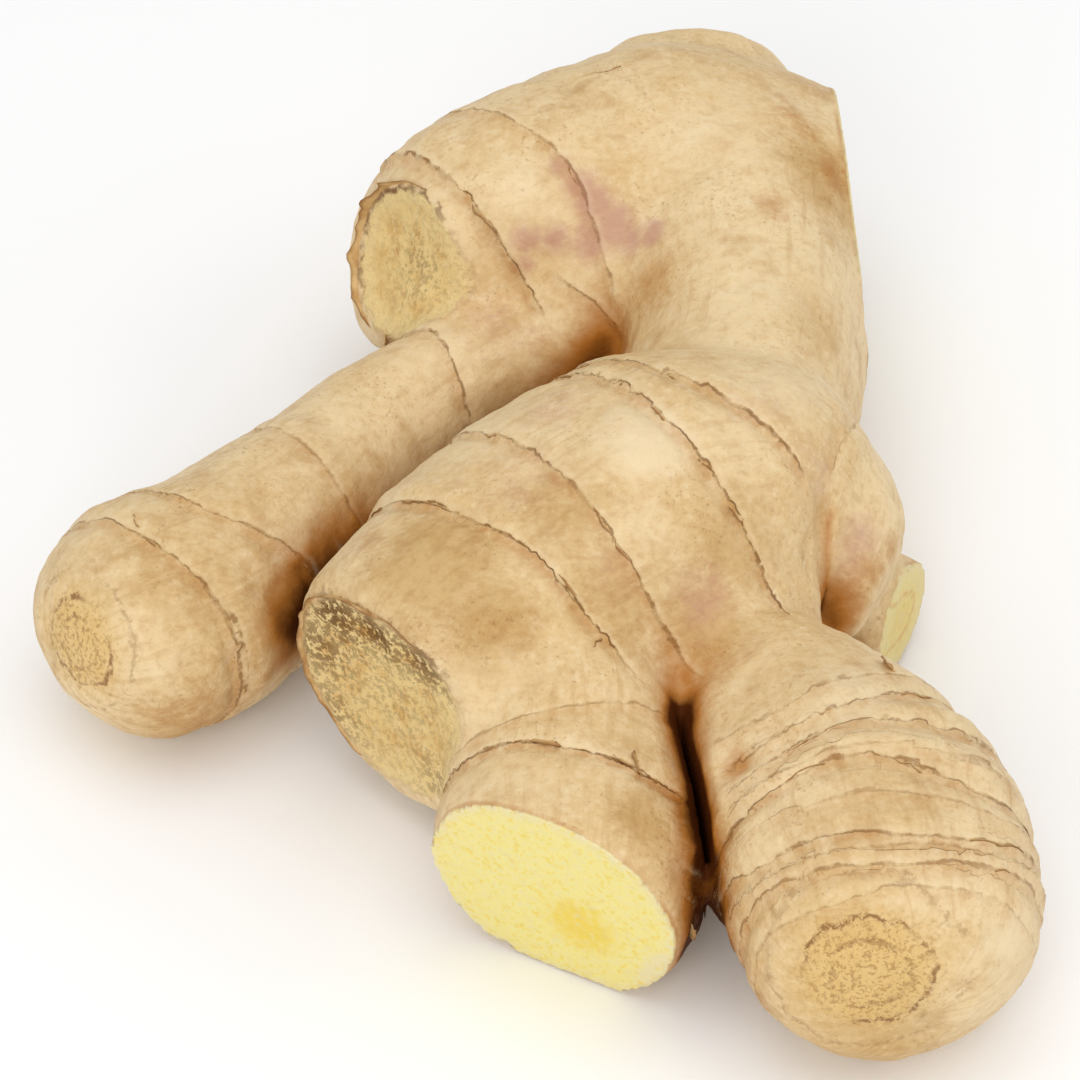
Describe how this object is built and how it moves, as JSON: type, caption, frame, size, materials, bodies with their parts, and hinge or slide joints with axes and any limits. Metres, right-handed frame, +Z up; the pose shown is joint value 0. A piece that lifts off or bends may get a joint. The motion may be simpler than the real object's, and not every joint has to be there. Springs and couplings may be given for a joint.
{
  "type": "ginger root",
  "caption": "Fresh ginger root with a heavy back lobe, a broad ringed body, a long finger, a thick ringed finger and a cut finger.",
  "frame": {"origin": "centre of the bounding box at the height of the surface that the root lies on", "axes": "+Z up from the surface, +Y from the cut front finger towards the heavy back lobe, +X to the right in the picture"},
  "size_m": [0.1028, 0.1398, 0.0399],
  "materials": {
    "ginger_skin": "satin"
  },
  "bodies": {
    "root": {"ginger_root": "ginger_skin"}
  },
  "joints": []
}
